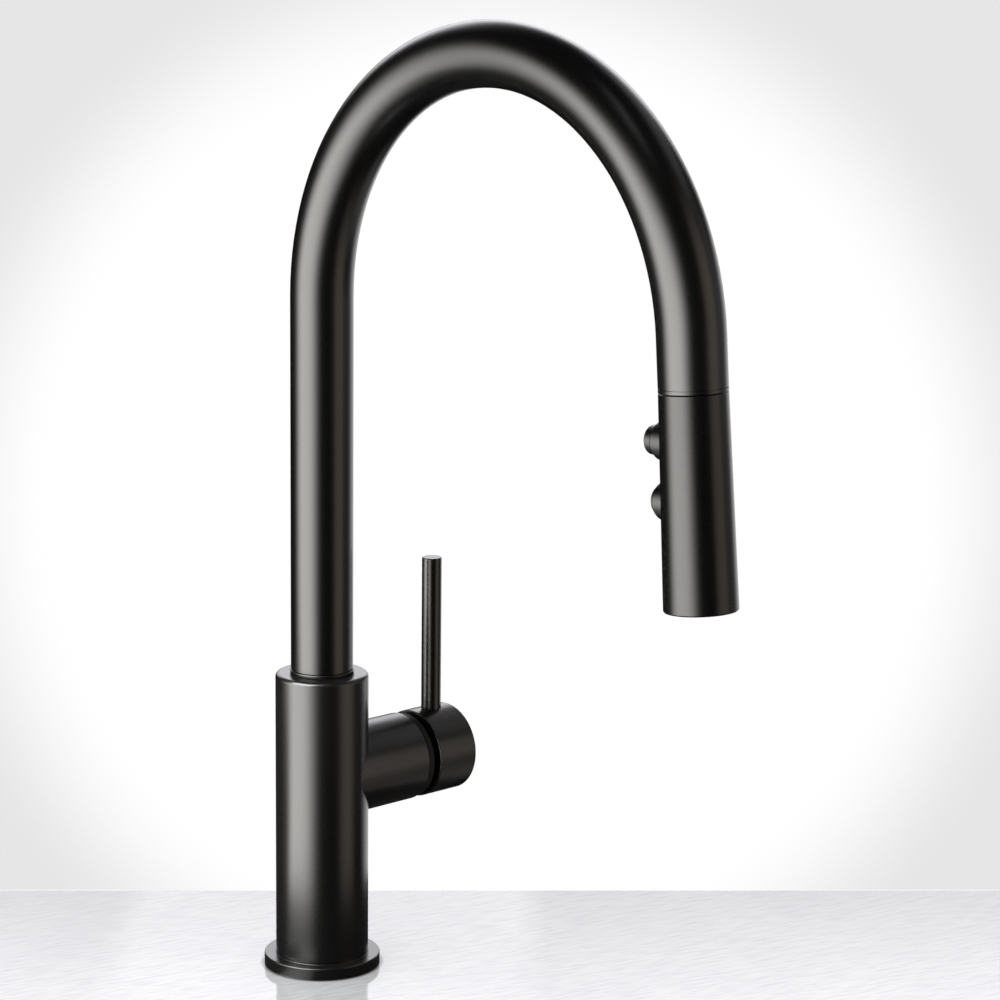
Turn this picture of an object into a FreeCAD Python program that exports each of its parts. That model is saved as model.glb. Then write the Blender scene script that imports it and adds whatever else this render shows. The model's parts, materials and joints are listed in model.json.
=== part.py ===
import FreeCAD, Part
import math
import os
import Sketcher

# A single-lever pull-down kitchen mixer with a two-button spray head.
# Row frame: origin at the centre of the base on the deck plane, +Z up, the spout
# reaches towards -Y and the handle stands out towards +X.  Millimetres, degrees.

doc = FreeCAD.newDocument("mixer")
sheet = doc.addObject("Spreadsheet::Sheet", "Sizes")


class Size:
    """A dimension: its number, and the sheet expression that drives it."""

    def __init__(self, number, text):
        self.number = float(number)
        self.text = text

    @staticmethod
    def of(other):
        if isinstance(other, Size):
            return other
        return Size(other, repr(round(float(other), 6)))

    def __add__(self, other):
        other = Size.of(other)
        return Size(self.number + other.number, f"({self.text} + {other.text})")

    def __radd__(self, other):
        return Size.of(other) + self

    def __sub__(self, other):
        other = Size.of(other)
        return Size(self.number - other.number, f"({self.text} - {other.text})")

    def __rsub__(self, other):
        return Size.of(other) - self

    def __mul__(self, other):
        other = Size.of(other)
        return Size(self.number * other.number, f"({self.text} * {other.text})")

    def __rmul__(self, other):
        return Size.of(other) * self

    def __truediv__(self, other):
        other = Size.of(other)
        return Size(self.number / other.number, f"({self.text} / {other.text})")

    def __neg__(self):
        return Size(-self.number, f"(-1 * {self.text})")


def sine(angle):
    return Size(math.sin(math.radians(angle.number)), f"sin({angle.text} * 1 deg)")


def cosine(angle):
    return Size(math.cos(math.radians(angle.number)), f"cos({angle.text} * 1 deg)")


def arc_cosine(size):
    return Size(math.degrees(math.acos(size.number)), f"(acos({size.text}) / 1 deg)")


next_row = [1]


def dimension(alias, number, note):
    """One driving dimension: a cell with a plain number and an alias."""
    row = next_row[0]
    next_row[0] += 1
    sheet.set(f"A{row}", note)
    sheet.set(f"B{row}", str(number))
    sheet.setAlias(f"B{row}", alias)
    return Size(number, f"Sizes.{alias}")


# ---------------------------------------------------------------- driving dimensions
# spout
TUBE_R = dimension("tube_radius", 14.0, "spout tube, outside radius")
TUBE_WALL = dimension("tube_wall", 1.25, "spout tube wall")
BEND_R = dimension("bend_radius", 112.1, "spout bend, centre line radius")
BEND_Z = dimension("bend_start", 307.9, "height where the bend starts")
BEND_SWEEP = dimension("bend_sweep", 175.45, "spout bend, angle swept")
TIP_RUN = dimension("tip_run", 21.76, "straight run from the bend to the head joint")
# base and body
FLANGE_R = dimension("flange_radius", 26.3, "flange radius")
FLANGE_T = dimension("flange_thickness", 5.4, "flange thickness")
BODY_R = dimension("body_radius", 21.0, "valve body radius")
BODY_TOP = dimension("body_top", 136.9, "height of the valve body")
STUB_R = dimension("stub_radius", 20.2, "side stub radius")
STUB_END = dimension("stub_end", 48.5, "side stub, distance of its end from the spout axis")
STUB_BEVEL = dimension("stub_bevel", 1.1, "bevel round the end of the side stub")
SHOULDER_R = dimension("shoulder_radius", 19.4, "bonnet ring shoulder that closes the gap behind the hub")
HANDLE_Z = dimension("handle_height", 88.7, "height of the handle axis")
CHAMBER_R = dimension("chamber_radius", 17.6, "cartridge chamber radius")
CHAMBER_FLOOR = dimension("chamber_floor", 14.0, "cartridge chamber floor, distance from the spout axis")
SOCKET_R = dimension("socket_radius", 14.3, "spout socket radius in the body")
SOCKET_FLOOR = dimension("socket_floor", 110.0, "height of the spout socket floor")
# handle
HUB_R = dimension("hub_radius", 20.2, "handle hub radius")
HUB_REAR = dimension("hub_rear", 54.6, "handle hub, rear face")
HUB_FRONT = dimension("hub_front", 76.8, "handle hub, front face")
ROD_R = dimension("rod_radius", 4.57, "lever rod radius")
ROD_X = dimension("rod_distance", 66.2, "lever rod, distance from the spout axis")
ROD_TOP = dimension("rod_top", 180.3, "height of the lever rod's end")
PIVOT = dimension("pivot_distance", 34.0, "lever pivot, distance from the spout axis")
# hose and tails
HOSE_R = dimension("hose_radius", 6.0, "spray hose radius")
HOSE_BORE = dimension("hose_bore", 4.2, "spray hose, inside radius")
HOSE_GAP = dimension("hose_gap", 0.5, "free space round the hose in the body")
HOSE_TOP = dimension("riser_top", 170.0, "height where the rising run ends at rest")
HOSE_LOW = dimension("riser_low", -252.0, "height of the lower end of the rising run")
LOOP_R = dimension("loop_radius", 25.0, "hose loop, centre line radius")
TAIL_R = dimension("tail_radius", 3.25, "tail radius")
TAIL_BORE = dimension("tail_bore", 2.0, "tail, inside radius")
TAIL_X = dimension("tail_distance", 10.9, "tails, distance from the spout axis in the shank")
TAIL_TOP = dimension("tail_top", 32.0, "height of the tails' ends in the body")
TAIL_FAN = dimension("tail_fan", 60.0, "angle between neighbouring tails")
TAIL_SPLAY = dimension("tail_splay", -76.0, "height where the tails start to spread")
SUPPLY_X = dimension("supply_distance", 30.0, "hot and cold ends, distance from the axis")
# shank and nut
SHANK_R = dimension("shank_radius", 16.5, "mounting shank radius")
SHANK_BORE = dimension("shank_bore", 14.3, "mounting shank, inside radius")
SHANK_TOP = dimension("shank_top", 20.0, "height of the shank's end in the body")
SHANK_LOW = dimension("shank_low", -58.0, "height of the shank's lower end")
PILOT_R = dimension("pilot_radius", 15.6, "plain lead-in at the shank's end, radius")
PILOT_TOP = dimension("pilot_top", -46.0, "height where the lead-in meets the thread")
DECK_T = dimension("deck_thickness", 30.0, "deck the washers are drawn up to")
# spray head
HEAD_LEN = dimension("head_length", 87.1, "spray head length below the joint")
HEAD_TIP_R = dimension("head_tip_radius", 15.14, "spray head radius at the outlet")
BUTTON_TOP = dimension("upper_button_drop", 20.25, "upper button, distance below the joint")
BUTTON_PITCH = dimension("button_pitch", 24.08, "distance between the buttons")
BUTTON_R = dimension("button_radius", 6.0, "push button radius")
BUTTON_OUT = dimension("button_reach", 23.0, "button face when out, distance from the head axis")
BUTTON_STROKE = dimension("button_stroke", 2.7, "button travel")
BEZEL_R = dimension("bezel_radius", 8.0, "button bezel radius")
BEZEL_OUT = dimension("bezel_reach", 18.0, "bezel rim, distance from the head axis")
ROCKER_Y = dimension("rocker_offset", 7.2, "rocker pivot, distance from the head axis")
GAP = dimension("joint_gap", 0.2, "half of the gap line at the head joint")
doc.recompute()

TUBE_BORE = TUBE_R - TUBE_WALL
LEAN = 180 - BEND_SWEEP
BEND_END_Y = -(BEND_R * (1 - cosine(BEND_SWEEP)))
BEND_END_Z = BEND_Z + BEND_R * sine(BEND_SWEEP)
JOINT_Y = BEND_END_Y - TIP_RUN * sine(BEND_SWEEP)
JOINT_Z = BEND_END_Z + TIP_RUN * cosine(BEND_SWEEP)
ROCKER_Z = -(BUTTON_TOP + BUTTON_PITCH / 2)

parts = []


# ---------------------------------------------------------------- building helpers
def bind(thing, prop, size):
    """Drives one property of an object from the sheet."""
    thing.setExpression(prop, Size.of(size).text)


def place(thing, at=(0, 0, 0), turn=None, axis=None):
    """Puts a sub-part in the row frame, with its position driven from the sheet."""
    numbers = [Size.of(c) for c in at]
    spin = Size.of(turn or 0)
    direction = FreeCAD.Vector(*(axis or (0, 0, 1)))
    thing.Placement = FreeCAD.Placement(
        FreeCAD.Vector(*[n.number for n in numbers]),
        FreeCAD.Rotation(direction, spin.number),
    )
    for letter, given, number in zip("xyz", at, numbers):
        if isinstance(given, Size):
            thing.setExpression(f"Placement.Base.{letter}", number.text)
    if isinstance(turn, Size):
        thing.setExpression("Placement.Rotation.Angle", spin.text)


def on_deck_axis(thing):
    place(thing)


def on_handle_axis(thing):
    """Local Z runs along the handle axis, and local X points down."""
    place(thing, (0, 0, HANDLE_Z), 90, (0, 1, 0))


def on_head_axis(thing):
    """Local Z runs up the leaning head axis from the joint, local Y points back."""
    place(thing, (0, JOINT_Y, JOINT_Z), -LEAN, (1, 0, 0))


def new_body(label, settle):
    body = doc.addObject("PartDesign::Body", label)
    body.Label = label
    if hasattr(body, "AllowCompound"):
        body.AllowCompound = True
    settle(body)
    parts.append(body)
    return body


def origin_piece(body, role):
    """One plane or axis of a body's own origin."""
    return [f for f in body.Origin.OriginFeatures if f.Role == role][0]


def sketch_on(body, role, name, height=0, shift_x=0, shift_y=0):
    """A sketch on one of the body's own origin planes, moved by driven offsets."""
    sketch = body.newObject("Sketcher::SketchObject", name)
    sketch.AttachmentSupport = [(origin_piece(body, role), "")]
    sketch.MapMode = "FlatFace"
    for letter, size in zip("xyz", (shift_x, shift_y, height)):
        size = Size.of(size)
        if size.number:
            sketch.setExpression(f"AttachmentOffset.Base.{letter}", size.text)
    return sketch


def fix_point(sketch, geo, end, x, y):
    """Holds one point of a sketch at driven coordinates."""
    x = Size.of(x)
    y = Size.of(y)
    if x.number == 0:
        sketch.addConstraint(Sketcher.Constraint("PointOnObject", geo, end, -2))
    else:
        i = sketch.addConstraint(Sketcher.Constraint("DistanceX", -1, 1, geo, end, x.number))
        sketch.setExpression(f"Constraints[{i}]", x.text)
    if y.number == 0:
        sketch.addConstraint(Sketcher.Constraint("PointOnObject", geo, end, -1))
    else:
        i = sketch.addConstraint(Sketcher.Constraint("DistanceY", -1, 1, geo, end, y.number))
        sketch.setExpression(f"Constraints[{i}]", y.text)


def polygon(sketch, corners):
    """A closed outline through the driven corners."""
    spots = [FreeCAD.Vector(Size.of(x).number, Size.of(y).number, 0) for x, y in corners]
    count = len(spots)
    first = sketch.GeometryCount
    for i in range(count):
        sketch.addGeometry(Part.LineSegment(spots[i], spots[(i + 1) % count]), False)
    for i in range(count):
        here = first + i
        after = first + (i + 1) % count
        sketch.addConstraint(Sketcher.Constraint("Coincident", here, 2, after, 1))
    for i, (x, y) in enumerate(corners):
        fix_point(sketch, first + i, 1, x, y)


def circle(sketch, x, y, radius):
    x = Size.of(x)
    y = Size.of(y)
    radius = Size.of(radius)
    centre = FreeCAD.Vector(x.number, y.number, 0)
    normal = FreeCAD.Vector(0, 0, 1)
    geo = sketch.addGeometry(Part.Circle(centre, normal, radius.number), False)
    i = sketch.addConstraint(Sketcher.Constraint("Radius", geo, radius.number))
    sketch.setExpression(f"Constraints[{i}]", radius.text)
    if x.number == 0 and y.number == 0:
        sketch.addConstraint(Sketcher.Constraint("Coincident", geo, 3, -1, 1))
    else:
        fix_point(sketch, geo, 3, x, y)


def volume_now(body):
    doc.recompute()
    shape = body.Shape
    return 0.0 if shape.isNull() else shape.Volume


def spin(body, name, corners, role="XZ_Plane", about="V_Axis", cut=False, angle=360, **shift):
    """Adds or cuts the outline turned about a sketch axis."""
    before = volume_now(body)
    sketch = sketch_on(body, role, name + "_outline", **shift)
    polygon(sketch, corners)
    kind = "PartDesign::Groove" if cut else "PartDesign::Revolution"
    feature = body.newObject(kind, name)
    feature.Profile = sketch
    feature.ReferenceAxis = (sketch, [about])
    feature.Angle = angle
    after = volume_now(body)
    if (after < before) != cut:
        raise RuntimeError(f"{body.Label}: {name} went from {before:.1f} to {after:.1f}")
    return feature


def extrude(body, name, sketch, length, cut=False, both=False, reverse=False):
    """Pads or pockets a sketch by a driven length."""
    before = volume_now(body)
    feature = body.newObject("PartDesign::Pocket" if cut else "PartDesign::Pad", name)
    feature.Profile = sketch
    feature.Type = 0
    feature.Length = Size.of(length).number
    bind(feature, "Length", length)
    feature.Midplane = both
    feature.Reversed = reverse
    after = volume_now(body)
    if abs(after - before) < 1e-6 or (after < before) != cut:
        raise RuntimeError(f"{body.Label}: {name} went from {before:.1f} to {after:.1f}")
    return feature


def rectangle(sketch, x0, x1, y0, y1):
    polygon(sketch, [(x0, y0), (x1, y0), (x1, y1), (x0, y1)])


def turned(label, corners, settle=on_deck_axis, angle=360):
    """A lathe-turned sub-part: one closed outline (radius, height) round local Z."""
    body = new_body(label, settle)
    spin(body, label + "_turn", corners, angle=angle)
    return body


def ring(label, inner, outer, low, high, settle=on_deck_axis, angle=360):
    corners = [(inner, low), (outer, low), (outer, high), (inner, high)]
    return turned(label, corners, settle, angle)


def round_edges(body, radius, chosen):
    """Rounds the circular edges that chosen(centre, radius) picks."""
    doc.recompute()
    base = body.Tip
    names = []
    for i, edge in enumerate(base.Shape.Edges):
        curve = edge.Curve
        if isinstance(curve, Part.Circle) and chosen(curve.Center, curve.Radius):
            names.append(f"Edge{i + 1}")
    if not names:
        raise RuntimeError(f"{body.Label}: no edge to round")
    feature = body.newObject("PartDesign::Fillet", body.Label + "_edges")
    feature.Base = (base, names)
    bind(feature, "Radius", radius)
    doc.recompute()
    return feature


def near(a, b):
    return abs(a - Size.of(b).number) < 1e-3


def pipe(label, run, outer, inner, settle=on_deck_axis, role="XZ_Plane"):
    """A tube along a path of driven points.  run is a list of (x, z, kind), where kind
    says how the path reaches that point from the one before: line or bend."""
    body = new_body(label, settle)
    spine = sketch_on(body, role, label + "_path")
    spots = [FreeCAD.Vector(Size.of(x).number, Size.of(z).number, 0) for x, z, _ in run]
    heading = (spots[1] - spots[0]).normalize()
    previous = None
    for i in range(1, len(run)):
        start = spots[i - 1]
        end = spots[i]
        if run[i][2] == "line":
            geo = spine.addGeometry(Part.LineSegment(start, end), False)
            first, last = 1, 2
            heading = (end - start).normalize()
        else:
            chord = end - start
            side = FreeCAD.Vector(-heading.y, heading.x, 0)
            reach = chord.dot(chord) / (2 * chord.dot(side))
            centre = start + side * reach
            turn_left = reach > 0
            begin = math.atan2(start.y - centre.y, start.x - centre.x)
            finish = math.atan2(end.y - centre.y, end.x - centre.x)
            round_ = Part.Circle(centre, FreeCAD.Vector(0, 0, 1), abs(reach))
            if turn_left:
                geo = spine.addGeometry(Part.ArcOfCircle(round_, begin, finish), False)
                first, last = 1, 2
            else:
                geo = spine.addGeometry(Part.ArcOfCircle(round_, finish, begin), False)
                first, last = 2, 1
            out = (end - centre).normalize()
            heading = FreeCAD.Vector(-out.y, out.x, 0) * (1 if turn_left else -1)
        if previous is None:
            fix_point(spine, geo, first, run[0][0], run[0][1])
        elif run[i][2] == "bend":
            spine.addConstraint(Sketcher.Constraint("Tangent", previous[0], previous[1], geo, first))
        else:
            spine.addConstraint(Sketcher.Constraint("Coincident", previous[0], previous[1], geo, first))
        fix_point(spine, geo, last, run[i][0], run[i][1])
        previous = (geo, last)
    # The path starts along Z, so the section lies flat at the first point.
    if role == "XZ_Plane":
        section = sketch_on(body, "XY_Plane", label + "_section", height=run[0][1], shift_x=run[0][0])
    else:
        section = sketch_on(body, "XY_Plane", label + "_section", height=run[0][1], shift_y=run[0][0])
    circle(section, 0, 0, outer)
    circle(section, 0, 0, inner)
    doc.recompute()
    feature = body.newObject("PartDesign::AdditivePipe", label + "_sweep")
    feature.Profile = section
    feature.Spine = spine
    feature.Mode = 0
    doc.recompute()
    return body


# ---------------------------------------------------------------- base, body, mounting
BEAD = dimension("bead_height", 0.3, "raised bead on the flange under the body")
doc.recompute()
BODY_LOW = FLANGE_T + BEAD
flange = turned("base_flange", [
    (SHANK_R + 0.5, 0), (19.5, 0), (19.5, 1.2), (24.5, 1.2), (24.5, 0), (FLANGE_R - 0.2, 0),
    (FLANGE_R, 0.2), (FLANGE_R, FLANGE_T), (BODY_R + 0.35, FLANGE_T), (BODY_R + 0.35, BODY_LOW),
    (SHANK_R + 0.5, BODY_LOW),
])
round_edges(flange, 0.55, lambda c, r: near(c.z, FLANGE_T) and near(r, FLANGE_R))
round_edges(flange, 0.25, lambda c, r: near(c.z, BODY_LOW) and near(r, BODY_R + 0.35))
ring("base_gasket", 19.5, 24.5, 0, 1.2)

body = new_body("valve_body", on_deck_axis)
spin(body, "barrel", [
    (0, BODY_LOW), (BODY_R - 0.6, BODY_LOW), (BODY_R - 0.6, BODY_LOW + 0.45), (BODY_R - 0.1, BODY_LOW + 0.45),
    (BODY_R, BODY_LOW + 0.55), (BODY_R, BODY_TOP), (0, BODY_TOP),
])
spin(body, "stub", [
    (0, 0), (STUB_END, 0), (STUB_END, STUB_R - STUB_BEVEL), (STUB_END - STUB_BEVEL, STUB_R), (0, STUB_R),
], about="H_Axis", shift_y=HANDLE_Z)
round_edges(body, 1.9, lambda c, r: near(c.z, BODY_TOP) and near(r, BODY_R))
spin(body, "chamber", [
    (CHAMBER_FLOOR, 0), (STUB_END + 1, 0), (STUB_END + 1, CHAMBER_R), (CHAMBER_FLOOR, CHAMBER_R),
], about="H_Axis", cut=True, shift_y=HANDLE_Z)
spin(body, "bores", [
    (0, FLANGE_T - 1), (SHANK_R, FLANGE_T - 1), (SHANK_R, SHANK_TOP), (HOSE_R + HOSE_GAP, SHANK_TOP),
    (HOSE_R + HOSE_GAP, SOCKET_FLOOR), (SOCKET_R, SOCKET_FLOOR), (SOCKET_R, BODY_TOP + 1), (0, BODY_TOP + 1),
], cut=True)

PORT_SIDE = TAIL_X * sine(TAIL_FAN)
PORT_FORE = TAIL_X * cosine(TAIL_FAN)
HOT_DROP = dimension("supply_port_drop", 4.7, "hot and cold ports, distance below the handle axis")
OUT_RISE = dimension("outlet_port_rise", 6.3, "outlet port, distance above the handle axis")
PORT_R = dimension("port_radius", 2.3, "radius of the ports into the cartridge")
doc.recompute()
TAIL_SPOTS = [(PORT_FORE, PORT_SIDE), (PORT_FORE, -PORT_SIDE), (TAIL_X, 0)]
sockets = sketch_on(body, "XY_Plane", "tail_sockets", height=SHANK_TOP)
for x, y in TAIL_SPOTS:
    circle(sockets, x, y, TAIL_R)
extrude(body, "tail_seats", sockets, TAIL_TOP - SHANK_TOP, cut=True, reverse=True)
supply = sketch_on(body, "XY_Plane", "supply_channels", height=SHANK_TOP)
for x, y in TAIL_SPOTS[:2]:
    circle(supply, x, y, PORT_R)
extrude(body, "supply_rise", supply, HANDLE_Z - HOT_DROP + PORT_R - SHANK_TOP, cut=True, reverse=True)
outlet = sketch_on(body, "XY_Plane", "outlet_channel", height=SHANK_TOP)
circle(outlet, TAIL_X, 0, PORT_R)
extrude(body, "outlet_rise", outlet, HANDLE_Z + OUT_RISE + PORT_R - SHANK_TOP, cut=True, reverse=True)
ports = sketch_on(body, "YZ_Plane", "supply_ports", height=CHAMBER_FLOOR)
for side in (PORT_SIDE, -PORT_SIDE):
    circle(ports, side, HANDLE_Z - HOT_DROP, PORT_R)
extrude(body, "supply_cross", ports, CHAMBER_FLOOR - PORT_FORE, cut=True)
port = sketch_on(body, "YZ_Plane", "outlet_port", height=CHAMBER_FLOOR)
circle(port, 0, HANDLE_Z + OUT_RISE, PORT_R)
extrude(body, "outlet_cross", port, CHAMBER_FLOOR - TAIL_X, cut=True)

turned("mounting_shank", [
    (SHANK_BORE, SHANK_LOW), (PILOT_R, SHANK_LOW), (PILOT_R, PILOT_TOP), (SHANK_R, PILOT_TOP),
    (SHANK_R, SHANK_TOP), (SHANK_BORE, SHANK_TOP),
])
ring("rubber_washer", SHANK_R + 0.4, 27, -(DECK_T + 3), -DECK_T)
ring("steel_washer", SHANK_R + 0.4, 27, -(DECK_T + 5), -(DECK_T + 3))


def hexagon(sketch, across_flats):
    """A hexagon with two flats across the sketch's X axis."""
    half = across_flats / 2
    point = across_flats / math.sqrt(3)
    rise = point / 2
    polygon(sketch, [(half, -rise), (half, rise), (0, point), (-half, rise), (-half, -rise), (0, -point)])


def hex_nut(label, across_flats, low, height, steps, settle=on_deck_axis):
    """A hexagonal nut; steps is a list of bores (radius, depth from the lower face)."""
    nut = new_body(label, settle)
    outline = sketch_on(nut, "XY_Plane", label + "_hex", height=low)
    hexagon(outline, Size.of(across_flats))
    extrude(nut, label + "_pad", outline, height)
    for i, (radius, depth) in enumerate(steps):
        hole = sketch_on(nut, "XY_Plane", f"{label}_bore{i}", height=low)
        circle(hole, 0, 0, radius)
        extrude(nut, f"{label}_cut{i}", hole, depth, cut=True, reverse=True)
    return nut


NUT_T = Size.of(10)
hex_nut("mounting_nut", 41, -(DECK_T + 5) - NUT_T, NUT_T, [(SHANK_R, NUT_T)])


# ---------------------------------------------------------------- tails under the deck
def splay(reach, bend):
    """How far a tail drops while two equal bends carry it out to reach."""
    turn = arc_cosine(1 - (reach - TAIL_X) / (2 * bend))
    return 2 * bend * sine(turn)


SUPPLY_BEND = dimension("supply_bend", 20.0, "hot and cold tails, bend radius")
OUTLET_BEND = dimension("outlet_bend", 30.0, "outlet tail, bend radius")
UNION_LEN = dimension("union_length", 18.0, "union nut length")
UNION_THREAD = dimension("union_thread", 8.3, "union nut, inside radius of the thread")
UNION_DEPTH = dimension("union_depth", 11.0, "union nut, depth of the thread")
doc.recompute()
supply_drop = splay(SUPPLY_X, SUPPLY_BEND)
supply_low = TAIL_SPLAY - supply_drop - 16
for label, side in (("hot_tail", 1), ("cold_tail", -1)):
    def fan(thing, side=side):
        place(thing, (0, 0, 0), side * TAIL_FAN, (0, 0, 1))
    pipe(label, [
        (TAIL_X, TAIL_TOP, "line"), (TAIL_X, TAIL_SPLAY, "line"),
        ((TAIL_X + SUPPLY_X) / 2, TAIL_SPLAY - supply_drop / 2, "bend"),
        (SUPPLY_X, TAIL_SPLAY - supply_drop, "bend"), (SUPPLY_X, supply_low, "line"),
    ], TAIL_R, TAIL_BORE, settle=fan)
for label, side in (("hot_union", 1), ("cold_union", -1)):
    def end_of_tail(thing, side=side):
        place(thing, (SUPPLY_X * cosine(TAIL_FAN), side * SUPPLY_X * sine(TAIL_FAN), supply_low))
    hex_nut(label, 22, -UNION_DEPTH, UNION_LEN, [(UNION_THREAD, UNION_DEPTH), (TAIL_R, UNION_LEN)],
            settle=end_of_tail)

loop_x = LOOP_R * 2
outlet_drop = splay(loop_x, OUTLET_BEND)
outlet_low = TAIL_SPLAY - outlet_drop - 12
pipe("outlet_tail", [
    (TAIL_X, TAIL_TOP, "line"), (TAIL_X, TAIL_SPLAY, "line"),
    ((TAIL_X + loop_x) / 2, TAIL_SPLAY - outlet_drop / 2, "bend"),
    (loop_x, TAIL_SPLAY - outlet_drop, "bend"), (loop_x, outlet_low, "line"),
], TAIL_R, TAIL_BORE)


def on_outlet(thing):
    place(thing, (loop_x, 0, outlet_low))


turned("quick_connector", [
    (TAIL_BORE, -6), (TAIL_BORE, 0), (TAIL_R, 0), (TAIL_R, 6), (6.5, 6), (6.5, 3), (9.5, 3), (9.5, -18),
    (HOSE_R, -18), (HOSE_R, -6),
], settle=on_outlet)

# ---------------------------------------------------------------- spray hose
pipe("hose_loop", [
    (loop_x, outlet_low - 6, "line"), (loop_x, HOSE_LOW, "line"), (0, HOSE_LOW, "bend"),
], HOSE_R, HOSE_BORE)
ring("hose_riser", HOSE_BORE, HOSE_R, HOSE_LOW, HOSE_TOP)
pipe("hose_upper", [
    (0, HOSE_TOP, "line"), (0, BEND_Z, "line"), (BEND_END_Y, BEND_END_Z, "bend"),
], HOSE_R, HOSE_BORE, role="YZ_Plane")
ring("hose_end", HOSE_BORE, HOSE_R, -12, TIP_RUN, settle=on_head_axis)

WEIGHT_R = dimension("weight_radius", 13.0, "hose weight radius")
WEIGHT_LEN = dimension("weight_length", 37.0, "hose weight length")
doc.recompute()
weight = new_body("hose_weight", on_deck_axis)
spin(weight, "weight_turn", [
    (HOSE_R, HOSE_LOW), (WEIGHT_R - 2, HOSE_LOW), (WEIGHT_R, HOSE_LOW + 2), (WEIGHT_R, HOSE_LOW + WEIGHT_LEN - 2),
    (WEIGHT_R - 2, HOSE_LOW + WEIGHT_LEN), (HOSE_R, HOSE_LOW + WEIGHT_LEN),
])
split = sketch_on(weight, "YZ_Plane", "split_line")
rectangle(split, -0.3, 0.3, HOSE_LOW - 1, HOSE_LOW + WEIGHT_LEN + 1)
extrude(weight, "weight_split", split, 2 * WEIGHT_R + 2, cut=True, both=True)

# ---------------------------------------------------------------- spout
FOOT_R = dimension("foot_radius", 13.0, "spout foot, running radius in the bushes")
COLLAR_R = dimension("collar_radius", 14.5, "collar radius at the foot of the spout")
COLLAR_LOW = BODY_TOP + 0.4
COLLAR_TOP = dimension("collar_top", 138.7, "height of the top of the collar")
COLLAR_T = dimension("collar_thickness", 0.55, "thickness of the collar's lip")
NECK_R = dimension("neck_radius", 13.7, "spout foot, radius of the shadow gap under the collar")
TUBE_LOW = dimension("tube_low", 139.05, "height of the tube's lower end")
TUBE_END = dimension("tube_end", 1.97, "tube end, distance above the head joint")
RUN_GAP = dimension("running_gap", 0.05, "running clearance")
doc.recompute()
pipe("spout_tube", [
    (0, TUBE_LOW, "line"), (0, BEND_Z, "line"), (BEND_END_Y, BEND_END_Z, "bend"),
    (JOINT_Y + TUBE_END * sine(BEND_SWEEP), JOINT_Z - TUBE_END * cosine(BEND_SWEEP), "line"),
], TUBE_R, TUBE_BORE, role="YZ_Plane")
foot = turned("spout_foot", [
    (8, 112), (FOOT_R, 112), (FOOT_R, 128), (12.2, 128), (12.2, 129.6), (FOOT_R, 129.6), (FOOT_R, COLLAR_LOW),
    (NECK_R, COLLAR_LOW), (NECK_R, COLLAR_TOP - COLLAR_T), (COLLAR_R, COLLAR_TOP - COLLAR_T),
    (COLLAR_R, COLLAR_TOP), (TUBE_BORE, COLLAR_TOP), (TUBE_BORE, COLLAR_TOP + 12), (8, COLLAR_TOP + 12),
])
round_edges(foot, 0.3, lambda c, r: near(c.z, COLLAR_TOP) and near(r, COLLAR_R))
ring("glide_washer", FOOT_R + RUN_GAP, TUBE_R, BODY_TOP, COLLAR_LOW)
ring("upper_glide_bush", FOOT_R + RUN_GAP, SOCKET_R, 130, BODY_TOP)
ring("lower_glide_bush", FOOT_R + RUN_GAP, SOCKET_R, SOCKET_FLOOR, 117)
ring("spout_retaining_ring", 12.2, 14.1, 128, 129.6, angle=320)

turned("docking_ring", [
    (11.2, GAP), (TUBE_R - 0.12, GAP), (TUBE_R, GAP + 0.12), (TUBE_R, TUBE_END - 0.35),
    (TUBE_R - 0.6, TUBE_END - 0.35), (TUBE_R - 0.6, TUBE_END), (TUBE_BORE, TUBE_END), (TUBE_BORE, 14), (11.2, 14),
], settle=on_head_axis)
turned("docking_sleeve", [(10.0, 0.4), (11.2, 0.4), (11.2, 14), (9.4, 14), (9.4, 1.0)], settle=on_head_axis)

# ---------------------------------------------------------------- cartridge and handle
SHELL_R = dimension("cartridge_radius", 17.5, "cartridge shell radius")
DISC_SHIFT = dimension("disc_shift", 1.5, "moving disc, offset when the valve is shut")
BALL_X = dimension("ball_distance", 27.0, "ball of the stem, distance from the spout axis")
BALL_R = dimension("ball_radius", 2.4, "ball of the stem, radius")
doc.recompute()
PORTS = [(HOT_DROP, PORT_SIDE), (HOT_DROP, -PORT_SIDE), (-OUT_RISE, 0)]


def ported_disc(label, radius, low, high, hole):
    disc = ring_free(label, radius, low, high)
    holes = sketch_on(disc, "XY_Plane", label + "_holes", height=low)
    for x, y in PORTS:
        circle(holes, x, y, hole)
    extrude(disc, label + "_ports", holes, high - low, cut=True, reverse=True)
    return disc


def ring_free(label, radius, low, high):
    """A plain solid disc on the handle axis."""
    return turned(label, [(0, low), (radius, low), (radius, high), (0, high)], settle=on_handle_axis)


seals = new_body("port_seals", on_handle_axis)
outline = sketch_on(seals, "XY_Plane", "seal_rings", height=CHAMBER_FLOOR)
for x, y in PORTS:
    circle(outline, x, y, 3.9)
    circle(outline, x, y, PORT_R + 0.3)
extrude(seals, "seal_pad", outline, 1)
ported_disc("cartridge_base", SHELL_R, CHAMBER_FLOOR + 1, Size.of(18), PORT_R)
ported_disc("lower_disc", Size.of(13.2), Size.of(18), Size.of(21), PORT_R)


def on_disc(thing):
    """The moving disc sits off the handle axis while the valve is shut."""
    place(thing, (0, 0, HANDLE_Z - DISC_SHIFT), 90, (0, 1, 0))


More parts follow.
